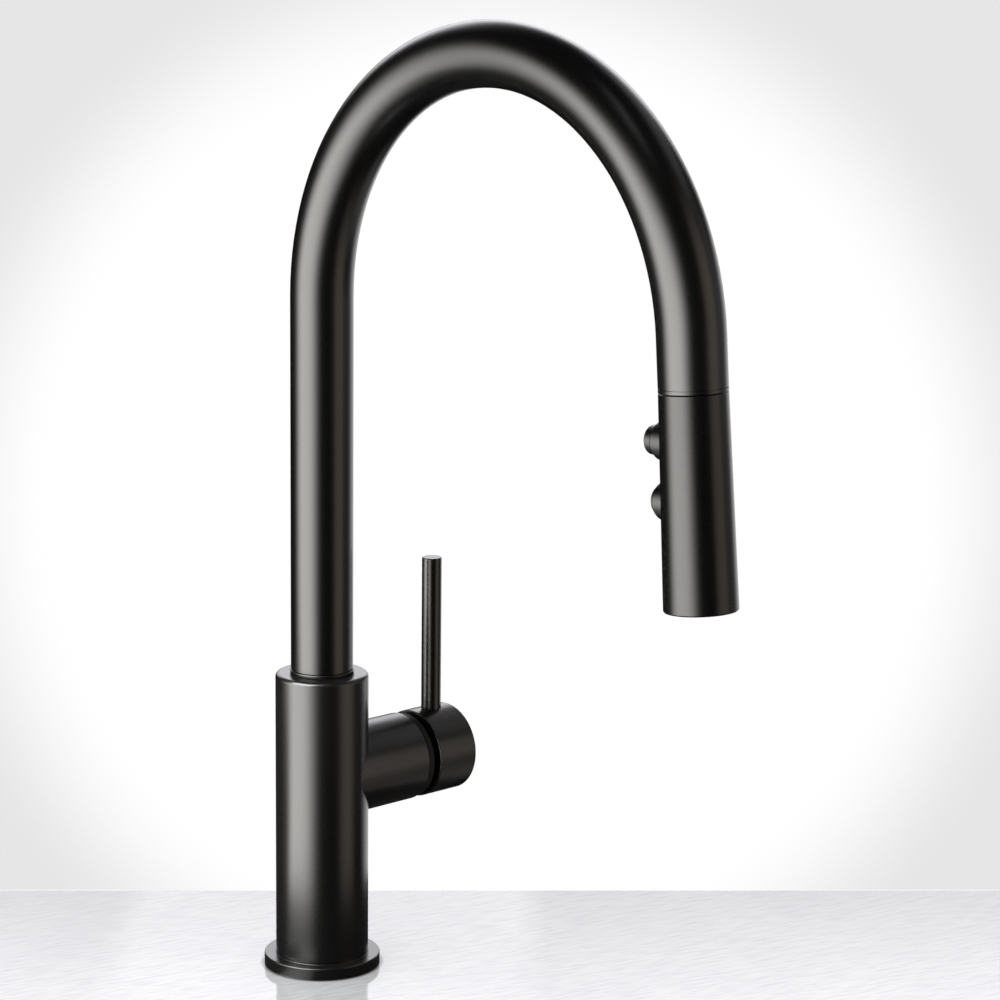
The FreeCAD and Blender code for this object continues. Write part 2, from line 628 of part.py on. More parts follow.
disc = turned("upper_disc", [(0, 21), (12.3, 21), (12.3, 24.5), (0, 24.5)], settle=on_disc)
recess = sketch_on(disc, "XY_Plane", "mixing_recess", height=21)
circle(recess, -2.2, 0, 6)
extrude(disc, "mixing_pocket", recess, 1.6, cut=True, reverse=True)
carrier = turned("disc_carrier", [(0, 24.5), (10.5, 24.5), (10.5, 28.8), (0, 28.8)], settle=on_disc)
seat = sketch_on(carrier, "XY_Plane", "ball_seat", height=24.5)
circle(seat, -DISC_SHIFT, 0, 2.55)
extrude(carrier, "ball_hole", seat, 4.3, cut=True, reverse=True)

turned("cartridge_shell", [
    (14, 18), (SHELL_R, 18), (SHELL_R, 40), (11, 40), (11, 36), (14, 36),
], settle=on_handle_axis)
rotor = turned("cartridge_rotor", [
    (0, 29.2), (13.9, 29.2), (13.9, 35.9), (10.9, 35.9), (10.9, 43), (0, 43),
], settle=on_handle_axis)
slot = sketch_on(rotor, "XY_Plane", "stem_slot", height=29)
rectangle(slot, -5.2, 8.8, -3.1, 3.1)
extrude(rotor, "stem_way", slot, 15, cut=True, reverse=True)
cross = sketch_on(rotor, "XZ_Plane", "pin_hole")
circle(cross, 0, PIVOT, 1.25)
extrude(rotor, "pin_bore", cross, 17, cut=True, both=True)
pin = new_body("pivot_pin", on_handle_axis)
outline = sketch_on(pin, "XZ_Plane", "pin_round")
circle(outline, 0, PIVOT, 1.25)
extrude(pin, "pin_pad", outline, 16, both=True)

stem = new_body("cartridge_stem", on_handle_axis)
barrel = sketch_on(stem, "XZ_Plane", "stem_barrel")
circle(barrel, 0, PIVOT, 3.5)
extrude(stem, "stem_boss", barrel, 6, both=True)
bar = sketch_on(stem, "XZ_Plane", "stem_bar")
rectangle(bar, -4, 4, PIVOT + 2.5, 66)
extrude(stem, "stem_square", bar, 6, both=True)
spin(stem, "stem_neck", [(0, BALL_X), (1.6, BALL_X), (1.6, PIVOT - 2), (0, PIVOT - 2)])
ball = stem.newObject("PartDesign::AdditiveSphere", "stem_ball")
ball.Radius = BALL_R.number
bind(ball, "Radius", BALL_R)
ball.AttachmentSupport = [(origin_piece(stem, "XY_Plane"), "")]
ball.MapMode = "FlatFace"
bind(ball, "AttachmentOffset.Base.z", BALL_X)
hole = sketch_on(stem, "XZ_Plane", "stem_hole")
circle(hole, 0, PIVOT, 1.3)
extrude(stem, "stem_bore", hole, 8, cut=True, both=True)

ring("cartridge_nut", 12, CHAMBER_R, 40, 46, settle=on_handle_axis)
turned("bonnet_ring", [
    (14.2, 46), (17.3, 46), (17.3, STUB_END + 0.05), (SHOULDER_R, STUB_END + 0.05), (SHOULDER_R, 51.2),
    (SHOULDER_R - 0.3, 51.5), (17.3, 51.5), (17.3, 52.5), (16.8, 53), (14.2, 53),
], settle=on_handle_axis)

hub = turned("handle_hub", [
    (0, 60), (17.9, 60), (17.9, HUB_REAR), (HUB_R, HUB_REAR), (HUB_R, HUB_FRONT), (0, HUB_FRONT),
], settle=on_handle_axis)
round_edges(hub, 0.45, lambda c, r: near(c.z, HUB_REAR) and near(r, HUB_R))
round_edges(hub, 1.0, lambda c, r: near(c.z, HUB_FRONT) and near(r, HUB_R))
socket = sketch_on(hub, "XY_Plane", "stem_socket", height=60)
rectangle(socket, -4.05, 4.05, -3.05, 3.05)
extrude(hub, "stem_seat", socket, 6.5, cut=True, reverse=True)
seat = sketch_on(hub, "YZ_Plane", "rod_seat", height=-14)
circle(seat, 0, ROD_X, ROD_R + 0.13)
extrude(hub, "rod_bore", seat, 7, cut=True)
thread = sketch_on(hub, "YZ_Plane", "rod_thread", height=-8)
circle(thread, 0, ROD_X, 3)
extrude(hub, "rod_tapping", thread, 7, cut=True)
tapping = sketch_on(hub, "YZ_Plane", "screw_hole", height=4)
circle(tapping, 0, 63, 2.5)
extrude(hub, "screw_tapping", tapping, 18, cut=True, reverse=True)

screw = new_body("hub_set_screw", on_handle_axis)
outline = sketch_on(screw, "YZ_Plane", "screw_round", height=4.1)
circle(outline, 0, 63, 2.5)
extrude(screw, "screw_pad", outline, 8)
drive = sketch_on(screw, "YZ_Plane", "screw_drive", height=12.1)
circle(drive, 0, 63, 1.3)
extrude(screw, "screw_socket", drive, 3, cut=True)


def on_rod(thing):
    place(thing, (ROD_X, 0, HANDLE_Z))


turned("lever_rod", [
    (0, 8.2), (3, 8.2), (3, 14.05), (ROD_R, 14.05), (ROD_R, ROD_TOP - HANDLE_Z - 0.3),
    (ROD_R - 0.3, ROD_TOP - HANDLE_Z), (0, ROD_TOP - HANDLE_Z),
], settle=on_rod)

# ---------------------------------------------------------------- spray head
ring("hose_ferrule", HOSE_R, 6.95, -12.5, 4, settle=on_head_axis)
turned("swivel_nipple", [
    (3, -16), (8.2, -16), (8.2, -14.1), (5.5, -14.1), (5.5, -12.1), (HOSE_BORE, -12.1), (HOSE_BORE, -1),
    (3, -1),
], settle=on_head_axis)
turned("spray_neck", [
    (7.3, -14), (8.9, -14), (8.9, -3.2), (12.6, -3.2), (12.6, -GAP), (9.3, -GAP), (9.3, 8), (8.3, 9), (7.3, 9),
], settle=on_head_axis)

shell = turned("spray_shell", [
    (12.6, -GAP), (TUBE_R - 0.12, -GAP), (TUBE_R, -GAP - 0.12), (HEAD_TIP_R, -HEAD_LEN + 0.5),
    (HEAD_TIP_R - 0.4, -HEAD_LEN),
    (13.7, -HEAD_LEN), (13.7, -86), (12.6, -3.2),
], settle=on_head_axis)
opening = sketch_on(shell, "XZ_Plane", "button_openings")
for drop in (BUTTON_TOP, BUTTON_TOP + BUTTON_PITCH):
    circle(opening, 0, -drop, BEZEL_R)
extrude(shell, "button_holes", opening, 18, cut=True)

bezels = new_body("button_bezels", on_head_axis)
for i, drop in enumerate((BUTTON_TOP, BUTTON_TOP + BUTTON_PITCH)):
    spin(bezels, f"bezel{i}", [
        (10.6, BUTTON_R + 0.1), (BEZEL_OUT, BUTTON_R + 0.1), (BEZEL_OUT, BEZEL_R - 0.9),
        (BEZEL_OUT - 0.3, BEZEL_R - 0.35), (BEZEL_OUT - 0.9, BEZEL_R), (10.6, BEZEL_R),
    ], role="YZ_Plane", about="H_Axis", shift_y=-drop)

for label, drop, face in (
    ("upper_button", BUTTON_TOP, BUTTON_OUT),
    ("lower_button", BUTTON_TOP + BUTTON_PITCH, BUTTON_OUT - BUTTON_STROKE),
):
    button = new_body(label, on_head_axis)
    spin(button, label + "_turn", [
        (face - 12.8, 0), (face - 12.8, 1.8), (face - 7.8, 1.8), (face - 7.8, BUTTON_R), (face - 0.4, BUTTON_R),
        (face, BUTTON_R - 0.4), (face, 0),
    ], role="YZ_Plane", about="H_Axis", shift_y=-drop)

core = turned("spray_core", [
    (0, -74), (10.2, -74), (10.2, -14.2), (8.35, -14.2), (8.35, -16.1), (7.4, -16.1), (7.4, -17.3), (5.6, -17.3),
    (5.6, -16.1), (4.0, -16.1), (4.0, -30), (2.6, -30), (2.6, -60), (0, -60),
], settle=on_head_axis)
pocket = sketch_on(core, "XZ_Plane", "rocker_room")
rectangle(pocket, -4.2, 4.2, ROCKER_Z - 16.5, ROCKER_Z + 14)
pocket.setExpression("AttachmentOffset.Base.z", "-4.9")
extrude(core, "rocker_pocket", pocket, 6, cut=True)
cross = sketch_on(core, "YZ_Plane", "rocker_pin_hole")
circle(cross, ROCKER_Y, ROCKER_Z, 1)
extrude(core, "rocker_pin_bore", cross, 20, cut=True, both=True)
pin = new_body("rocker_pin", on_head_axis)
outline = sketch_on(pin, "YZ_Plane", "rocker_pin_round")
circle(outline, ROCKER_Y, ROCKER_Z, 1)
extrude(pin, "rocker_pin_pad", outline, 13, both=True)

ROCKER_TILT = dimension("rocker_tilt", 6.42, "rocker, angle from level at rest")
doc.recompute()
rocker_home_y = JOINT_Y + ROCKER_Y * cosine(LEAN) + ROCKER_Z * sine(LEAN)
rocker_home_z = JOINT_Z - ROCKER_Y * sine(LEAN) + ROCKER_Z * cosine(LEAN)


def on_rocker(thing):
    place(thing, (0, rocker_home_y, rocker_home_z), -(LEAN + ROCKER_TILT), (1, 0, 0))


half = BUTTON_PITCH / 2
rocker = new_body("diverter_rocker", on_rocker)
outline = sketch_on(rocker, "YZ_Plane", "rocker_outline")
polygon(outline, [
    (-0.8, -half - 0.8), (0.9, -half - 0.8), (1.6, -half - 0.3), (1.6, -half + 0.3), (0.9, -half + 1.2),
    (0.9, -2), (1.9, -1), (1.9, 1), (0.9, 2),
    (0.9, half - 1.2), (1.6, half - 0.3), (1.6, half + 0.3), (0.9, half + 0.8), (-0.8, half + 0.8),
    (-0.8, 2), (-1.8, 1), (-1.8, -1), (-0.8, -2),
])
extrude(rocker, "rocker_pad", outline, 6.8, both=True)
hole = sketch_on(rocker, "YZ_Plane", "rocker_hole")
circle(hole, 0, 0, 1.05)
extrude(rocker, "rocker_bore", hole, 8, cut=True, both=True)

ring("swivel_seal", 5.6, 7.4, -17.3, -16, settle=on_head_axis)
turned("check_valve", [
    (1.8, -28), (4.0, -28), (4.0, -18), (2.6, -18), (2.6, -22), (1.8, -23),
], settle=on_head_axis)
screen = turned("inlet_screen", [(0, -17.4), (4.0, -17.4), (4.0, -16.6), (0, -16.6)], settle=on_head_axis)
mesh = sketch_on(screen, "XY_Plane", "mesh_hole", height=-17.4)
circle(mesh, 2.4, 0, 0.7)
mesh_cut = extrude(screen, "mesh_cut", mesh, 0.8, cut=True, reverse=True)


def repeat(body, feature, count, name):
    """Repeats a feature round local Z."""
    pattern = body.newObject("PartDesign::PolarPattern", name)
    pattern.Originals = [feature]
    pattern.Axis = (origin_piece(body, "Z_Axis"), [""])
    pattern.Angle = 360
    pattern.Occurrences = count
    body.Tip = pattern
    doc.recompute()
    return pattern


repeat(screen, mesh_cut, 8, "mesh_holes")

AERATOR_R = dimension("aerator_radius", 6.5, "aerator radius")
NOZZLE_R = dimension("nozzle_radius", 0.9, "nozzle radius")
doc.recompute()
ring("flow_distributor", 7.2, 12.9, -81.3, -74, settle=on_head_axis)
mat = ring("nozzle_mat", 7.2, 13.2, -82.5, -81.3, settle=on_head_axis)
face = ring("spray_face", AERATOR_R, 13.6, -86, -82.5, settle=on_head_axis)
for i, (radius, count) in enumerate(((11.6, 20), (9.0, 14))):
    spot = sketch_on(face, "XY_Plane", f"face_hole{i}", height=-86)
    circle(spot, radius, 0, NOZZLE_R)
    hole = extrude(face, f"face_cut{i}", spot, 3.5, cut=True, reverse=True)
    repeat(face, hole, count, f"face_holes{i}")
    spot = sketch_on(mat, "XY_Plane", f"nozzle_spot{i}", height=-86.4)
    circle(spot, radius, 0, NOZZLE_R)
    nub = extrude(mat, f"nozzle{i}", spot, 4.2)
    repeat(mat, nub, count, f"nozzles{i}")
turned("aerator", [
    (0, -85.6), (5.6, -85.6), (5.6, -86.2), (AERATOR_R, -86.2), (AERATOR_R, -76), (5.2, -76), (5.2, -83), (0, -83),
], settle=on_head_axis)

# ---------------------------------------------------------------- check and export
doc.recompute()
for thing in doc.Objects:
    if {"Invalid", "Error"} & set(thing.State):
        raise RuntimeError(f"{thing.Name} failed: {thing.State}")
os.makedirs("parts", exist_ok=True)
for part in parts:
    shape = part.Shape
    if shape.isNull() or not shape.isValid() or not shape.Solids:
        raise RuntimeError(f"{part.Label} has no valid solid")
    shape.exportStep(f"parts/{part.Label}.step")
print(len(parts), "sub-parts")
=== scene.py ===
import json
import math

import bpy
from mathutils import Matrix, Vector


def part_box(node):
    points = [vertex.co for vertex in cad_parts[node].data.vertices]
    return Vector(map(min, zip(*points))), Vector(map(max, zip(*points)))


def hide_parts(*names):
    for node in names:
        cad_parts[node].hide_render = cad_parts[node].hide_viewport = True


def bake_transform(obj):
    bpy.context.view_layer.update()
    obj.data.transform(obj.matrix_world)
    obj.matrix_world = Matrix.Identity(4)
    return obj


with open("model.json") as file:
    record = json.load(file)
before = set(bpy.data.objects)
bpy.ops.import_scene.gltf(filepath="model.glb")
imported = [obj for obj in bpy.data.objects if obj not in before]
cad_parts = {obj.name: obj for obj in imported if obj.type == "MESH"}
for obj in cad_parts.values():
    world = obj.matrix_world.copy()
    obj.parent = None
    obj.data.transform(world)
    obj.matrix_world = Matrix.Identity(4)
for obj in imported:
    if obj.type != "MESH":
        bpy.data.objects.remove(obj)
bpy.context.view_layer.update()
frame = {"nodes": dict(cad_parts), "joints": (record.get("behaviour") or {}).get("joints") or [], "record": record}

joints = {j["name"]: j for j in frame["joints"]}
record = frame["record"]


# ---------------------------------------------------------------- shader helpers
class Shader:
    """A material's node tree, with short names for adding and joining nodes."""

    def __init__(self, tree):
        self.tree = tree
        self.tree.nodes.clear()

    @classmethod
    def of_material(cls, name):
        material = bpy.data.materials.new(name)
        material.use_nodes = True
        s = cls(material.node_tree)
        s.material = material
        s.output = s.node("OutputMaterial")
        return s

    def node(self, kind, **inputs):
        made = self.tree.nodes.new("ShaderNode" + kind)
        for key, value in inputs.items():
            self.put(made.inputs[key.replace("_", " ")], value)
        return made

    def put(self, socket, value):
        if hasattr(value, "is_linked"):
            self.tree.links.new(value, socket)
        else:
            socket.default_value = value

    def math(self, operation, *values):
        made = self.node("Math")
        made.operation = operation
        for i, value in enumerate(values):
            self.put(made.inputs[i], value)
        return made.outputs[0]

    def vector(self, operation, *values):
        """Vector arithmetic.  Lengths, distances and dot products come back as one number."""
        made = self.node("VectorMath")
        made.operation = operation
        for i, value in enumerate(values):
            self.put(made.inputs[i], value)
        single = operation in ("LENGTH", "DISTANCE", "DOT_PRODUCT")
        return made.outputs["Value" if single else "Vector"]

    def place(self):
        return self.node("TexCoord").outputs["Object"]

    def noise(self, scale, detail, rough=0.55, vector=None):
        made = self.node("TexNoise", Scale=scale, Detail=detail, Roughness=rough)
        self.put(made.inputs["Vector"], vector or self.place())
        return made.outputs["Fac"]

    def spread(self, value, low, high, start=0.0, end=1.0, smooth=False):
        """Maps start to end onto low to high, flat outside."""
        made = self.node("MapRange", Value=value, From_Min=start, From_Max=end, To_Min=low, To_Max=high)
        if smooth:
            made.interpolation_type = "SMOOTHSTEP"
        return made.outputs["Result"]

    def blend(self, factor, first, second, how="MIX"):
        made = self.node("Mix")
        made.data_type = "RGBA"
        made.blend_type = how
        self.put(made.inputs[0], factor)
        self.put(made.inputs[6], first)
        self.put(made.inputs[7], second)
        return made.outputs[2]

    def tinted(self, first, second):
        return self.blend(1.0, first, second, "MULTIPLY")

    def bump(self, height, strength, distance):
        return self.node("Bump", Height=height, Strength=strength, Distance=distance).outputs["Normal"]

    def mix(self, factor, first, second):
        made = self.node("MixShader")
        self.put(made.inputs[0], factor)
        self.put(made.inputs[1], first)
        self.put(made.inputs[2], second)
        return made.outputs[0]

    def surface(self, shader):
        self.put(self.output.inputs["Surface"], shader)
        return self.material


def rgba(r, g, b):
    return (r, g, b, 1.0)


def grey(level):
    return (level, level, level, 1.0)


WHITE = grey(1.0)
CLOUD_SCALE = 18.0          # how fine the broad cloudiness of a surface is
CLOUD_DETAIL = 4.0
GRAIN_DETAIL = 2.0
GRAIN_ROUGH = 0.6
GRAIN_SWING = 0.02          # how far the fine grain moves the roughness either way
GRAIN_HEIGHT = 0.0002


def coated(name, dark, light, rough_low, rough_high, grain, metallic=0.0, relief=0.04, specular=0.5):
    """A painted, moulded or machined surface: cloudy colour, uneven gloss and a fine grain."""
    s = Shader.of_material(name)
    broad = s.noise(CLOUD_SCALE, CLOUD_DETAIL)
    fine = s.noise(grain, GRAIN_DETAIL, GRAIN_ROUGH)
    gloss = s.math("ADD", s.spread(broad, rough_low, rough_high), s.spread(fine, -GRAIN_SWING, GRAIN_SWING))
    body = s.node("BsdfPrincipled", Base_Color=s.blend(broad, rgba(*dark), rgba(*light)), Roughness=gloss,
                  Metallic=metallic, Specular_IOR_Level=specular, Normal=s.bump(fine, relief, GRAIN_HEIGHT))
    return s.surface(body.outputs[0])


STRANDS_UP = 1500.0         # radians of weave per metre of hose
STRANDS_ROUND = 10.0        # radians of weave per radian round the hose
STRAND_DARK = rgba(0.02, 0.02, 0.022)
STRAND_LIGHT = rgba(0.16, 0.16, 0.17)
STRAND_ROUGH = (0.75, 0.45)     # roughness between the strands and on them
STRAND_RELIEF = 0.6
STRAND_HEIGHT = 0.0006


def braided(name):
    """A nylon braid: two crossing sets of strands wound round the hose."""
    s = Shader.of_material(name)
    around = s.node("Attribute")
    around.attribute_name = "wrap"
    split = s.node("SeparateXYZ", Vector=s.place())
    rise = s.math("MULTIPLY", split.outputs["Z"], STRANDS_UP)
    turn = s.math("MULTIPLY", around.outputs["Fac"], STRANDS_ROUND)
    right = s.math("ABSOLUTE", s.math("SINE", s.math("ADD", turn, rise)))
    left = s.math("ABSOLUTE", s.math("SINE", s.math("SUBTRACT", turn, rise)))
    weave = s.math("MAXIMUM", right, left)
    body = s.node("BsdfPrincipled", Base_Color=s.blend(weave, STRAND_DARK, STRAND_LIGHT),
                  Roughness=s.spread(weave, *STRAND_ROUGH),
                  Normal=s.bump(weave, STRAND_RELIEF, STRAND_HEIGHT))
    return s.surface(body.outputs[0])


# Name, darkest colour, lightest colour, roughness from and to, fineness of the grain, and the rest.
SURFACES = (
    ("satin_black", (0.0015, 0.0014, 0.0013), (0.0024, 0.0022, 0.0021), 0.26, 0.30, 2600.0, {}),
    ("head_black", (0.0015, 0.0014, 0.0013), (0.0024, 0.0022, 0.0021), 0.25, 0.29, 2600.0,
     {"specular": 0.37}),
    ("black_plastic", (0.0018, 0.0017, 0.0017), (0.0026, 0.0025, 0.0024), 0.28, 0.33, 1800.0, {}),
    ("matt_black", (0.0030, 0.0030, 0.0030), (0.0045, 0.0045, 0.0045), 0.60, 0.70, 1500.0, {"specular": 0.2}),
    ("grey_plastic", (0.10, 0.10, 0.105), (0.13, 0.13, 0.135), 0.42, 0.52, 900.0, {}),
    ("white_plastic", (0.74, 0.74, 0.72), (0.80, 0.80, 0.78), 0.30, 0.38, 900.0, {}),
    ("brass", (0.60, 0.42, 0.18), (0.70, 0.52, 0.26), 0.22, 0.34, 1200.0, {"metallic": 1.0}),
    ("steel", (0.52, 0.52, 0.53), (0.62, 0.62, 0.63), 0.24, 0.36, 1500.0, {"metallic": 1.0}),
    ("rubber", (0.012, 0.012, 0.012), (0.020, 0.020, 0.020), 0.62, 0.75, 1400.0, {"relief": 0.1}),
    ("silicone", (0.20, 0.20, 0.21), (0.25, 0.25, 0.26), 0.50, 0.60, 1100.0, {}),
    ("tail_sleeve", (0.36, 0.36, 0.37), (0.44, 0.44, 0.45), 0.35, 0.45, 1000.0, {}),
    ("ceramic", (0.84, 0.83, 0.80), (0.90, 0.89, 0.86), 0.12, 0.18, 700.0, {"relief": 0.02}),
    ("lead_free_weight", (0.06, 0.06, 0.065), (0.09, 0.09, 0.095), 0.5, 0.6, 600.0, {"relief": 0.15}),
)
materials = {name: coated(name, *numbers, **rest) for name, *numbers, rest in SURFACES}
materials["hose_braid"] = braided("hose_braid")


def paint(piece, material):
    piece.data.materials.clear()
    piece.data.materials.append(material)


for subpart in record["subparts"]:
    paint(frame["nodes"][subpart["node"]], materials[subpart["material_slot"]])


# ---------------------------------------------------------------- flexible hose
def swept_tube(name, path, radius, sides=32):
    """A closed tube round a path of points, with each vertex's angle stored for the braid."""
    verts = []
    faces = []
    angles = []
    heading = (path[1] - path[0]).normalized()
    side = heading.orthogonal().normalized()
    for i, point in enumerate(path):
        ahead = path[min(i + 1, len(path) - 1)] - path[max(i - 1, 0)]
        ahead.normalize()
        side = (side - ahead * side.dot(ahead)).normalized()
        other = ahead.cross(side)
        for k in range(sides):
            a = 2 * math.pi * k / sides
            verts.append(point + side * (radius * math.cos(a)) + other * (radius * math.sin(a)))
            angles.append(a)
    for i in range(len(path) - 1):
        for k in range(sides):
            here = i * sides + k
            after = i * sides + (k + 1) % sides
            faces.append((here, after, after + sides, here + sides))
    last = (len(path) - 1) * sides
    faces.append(tuple(reversed(range(sides))))
    faces.append(tuple(range(last, last + sides)))
    mesh = bpy.data.meshes.new(name)
    mesh.from_pydata([tuple(v) for v in verts], [], faces)
    mesh.validate()
    mesh.polygons.foreach_set("use_smooth", [True] * (len(faces) - 2) + [False] * 2)
    wrap = mesh.attributes.new("wrap", "FLOAT", "POINT")
    wrap.data.foreach_set("value", angles)
    piece = bpy.data.objects.new(name, mesh)
    bpy.context.scene.collection.objects.link(piece)
    paint(piece, materials["hose_braid"])
    return piece


hose_low, hose_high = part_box("hose_riser")
hose_radius = (hose_high.x - hose_low.x) / 2
down = Vector(joints["head_pull"]["axis"]).normalized()
head_joint = Vector(joints["head_spin"]["pos_m"])
lean = math.acos(-down.z)
end_low, end_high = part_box("hose_end")
above = (end_high.z - hose_radius * math.sin(lean) - head_joint.z) / -down.z
below = (head_joint.z - end_low.z - hose_radius * math.sin(lean)) / -down.z
top = head_joint - down * above
foot = head_joint + down * below
LEAD_STEPS = 60
lead = swept_tube("hose_lead", [top.lerp(foot, i / LEAD_STEPS) for i in range(LEAD_STEPS + 1)], hose_radius)
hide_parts("hose_end")
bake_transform(lead)

loop_low, loop_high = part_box("hose_loop")
loop_radius = (loop_high.x - loop_low.x) / 2 - hose_radius
bend_z = loop_low.z + hose_radius + loop_radius
loop_far = Vector((2 * loop_radius, 0, loop_high.z))
bend_start = Vector((2 * loop_radius, 0, bend_z))
FALL_STEPS = 20
BEND_STEPS = 40
path = [loop_far.lerp(bend_start, i / FALL_STEPS) for i in range(FALL_STEPS)]
for i in range(BEND_STEPS + 1):
    a = math.pi * i / BEND_STEPS
    path.append(Vector((loop_radius * (1 + math.cos(a)), 0, bend_z - loop_radius * math.sin(a))))
loop = swept_tube("hose_slack", path, hose_radius)
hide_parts("hose_loop")
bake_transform(loop)


# ---------------------------------------------------------------- camera
YAW = math.radians(-43.28)
TILT = math.radians(11.75)  # how far the camera looks down
ROLL = math.radians(0.62)
CAMERA_AT = Vector((-0.9258, -1.0988, 0.5153))
camera_data = bpy.data.cameras.new("camera")
camera_data.sensor_width = 36.0
camera_data.lens = 118.43
camera_data.clip_end = 50.0
camera = bpy.data.objects.new("camera", camera_data)
bpy.context.scene.collection.objects.link(camera)
aim = (Matrix.Rotation(YAW, 4, "Z") @ Matrix.Rotation(math.pi / 2 - TILT, 4, "X")
       @ Matrix.Rotation(ROLL, 4, "Z"))
camera.matrix_world = Matrix.Translation(CAMERA_AT) @ aim
bpy.context.scene.camera = camera


def level_direction(degrees):
    """The level unit vector at so many degrees round from the camera, right being positive."""
    turn = math.radians(degrees)
    return Matrix.Rotation(YAW, 3, "Z") @ Vector((math.sin(turn), -math.cos(turn), 0))


# ---------------------------------------------------------------- floor
# Directions are in degrees round from the camera, lengths in metres from the spout's axis.
FLANGE_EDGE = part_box("base_flange")[1].x
CONTACT_WIDTH = 0.0022      # soft shadow under the flange's rim
CONTACT_COLOUR = grey(0.10)
FRONT_COSINES = (0.866, 0.966)  # how near to the photo's side the floor's edge appears and is full
EDGE_SIDE = 181.95          # direction in which the worktop ends
STONE_END = 0.1007          # distance of the worktop's far edge
STONE_FRONT = -0.05         # distance of the nearest worktop in view, in front of the axis
STONE_FADE = (0.15, 0.75)   # where the stone fades out when it is seen from elsewhere
ARRIS = 0.0014              # width of the painted highlight along the worktop's far edge
ARRIS_LIGHT = 0.92
STONE_DARK = rgba(0.61, 0.62, 0.645)
STONE_LIGHT = rgba(0.77, 0.77, 0.78)
STONE_CLOUD = 14.0          # how fine the stone's cloudiness is
STONE_NOISE = (6.0, 0.60)   # detail and roughness of that noise
STREAK_SIDE = 118           # direction the streaks run
STREAK_LENGTH = 0.016
STREAK_WIDTH = 0.0022
STREAK_NOISE = (5.0, 0.62)  # detail and roughness of the streaks' noise
STREAK_RANGE = (0.44, 0.76)     # the part of that noise that makes streaks
STREAK_DEPTH = 0.85
STREAK_COLOUR = rgba(0.50, 0.51, 0.53)
STRIP_HALF = 0.096          # half the width of the strip round the base where the painted shade is lighter
STRIP_EDGE = 0.008          # softness of the strip's sides
FAR_TONES = (0.64, 0.845)   # painted shade: brightness of the far stone, outside and inside the strip
NEAR_TONES = (0.96, 1.05)   # the same for the near stone
FILL_TONE = 1.12            # how much paler the stone is made close to the base
FILL_RANGE = (0.030, 0.095)
POLISH = 0.12               # share of the stone's look that is mirror
POLISH_ROUGH = (0.05, 0.09)
BRIGHT_CENTRE = (0.485, 0.5, 0.0)   # middle of the bright backdrop, as a share of the picture
BRIGHT_RANGE = (0.43, 0.585)        # where the backdrop shades off
CORNER_LIGHT = 0.79
REFLECTED_FLOOR = 0.135     # how far out the black metal reflects the worktop
MAIN_BOX_SIDE = -48         # the main soft box, mirrored in the stone
MAIN_BOX_COSINES = (0.80, 0.99)
GLINT_SIDE = -27            # middle of the light that the flange's side mirrors
GLINT_COSINES = (0.93, 1.0)
GLINT_GAIN = 1.3
GLINT_RANGE = (0.048, 0.060)    # where the flange's reflections give way to the body's
DARK_SIDE = -135            # middle of the side where the worktop reflects dark
DARK_COSINES = (0.50, 0.72)
DARK_REACH = 0.55           # how far out it does
MIRRORED_LIGHT = 1.4
MIRRORED_FLOOR = 0.04       # what the black metal sees of the worktop elsewhere
MIRRORED_FADE = 0.05        # where the mirrored light starts to fall off
MIRRORED_END = 0.22         # what is left of it at the end of the reflected worktop
FLOOR_HALF = 20.0           # half the floor's side


def stone_colour(s, place, reach, depth, front, cloud):
    """Cloudy stone with short slanting streaks, with painted shade from the front to its far edge."""
    along = s.vector("DOT_PRODUCT", place, level_direction(STREAK_SIDE))
    beside = s.vector("DOT_PRODUCT", place, level_direction(STREAK_SIDE - 90))
    slant = s.node("CombineXYZ", X=s.math("MULTIPLY", along, 1 / STREAK_LENGTH),
                   Y=s.math("MULTIPLY", beside, 1 / STREAK_WIDTH))
    streaks = s.noise(1.0, *STREAK_NOISE, slant.outputs[0])
    stone = s.blend(cloud, STONE_DARK, STONE_LIGHT)
    stone = s.blend(s.spread(streaks, 0.0, STREAK_DEPTH, *STREAK_RANGE), stone, STREAK_COLOUR)
    # Painted shade: the worktop is darker towards its far edge, less so in a strip on each side of the base.
    across = s.math("ABSOLUTE", s.vector("DOT_PRODUCT", place, level_direction(90)))
    strip = s.math("MULTIPLY", front,
                   s.spread(across, 1.0, 0.0, STRIP_HALF - STRIP_EDGE, STRIP_HALF + STRIP_EDGE))
    far_tone = s.blend(strip, *map(grey, FAR_TONES))
    near_tone = s.blend(strip, *map(grey, NEAR_TONES))
    painted_far_shade = s.blend(s.spread(depth, 1.0, 0.0, STONE_FRONT, STONE_END), far_tone, near_tone)
    stone = s.tinted(stone, s.blend(front, WHITE, painted_far_shade))
    # Close to the base it is paler, which makes up for the light the body takes from it.
    stone = s.tinted(stone, s.blend(s.spread(reach, 1.0, 0.0, *FILL_RANGE), WHITE, grey(FILL_TONE)))
    contact = s.spread(reach, 1.0, 0.0, FLANGE_EDGE, FLANGE_EDGE + CONTACT_WIDTH)
    return s.blend(contact, stone, CONTACT_COLOUR)


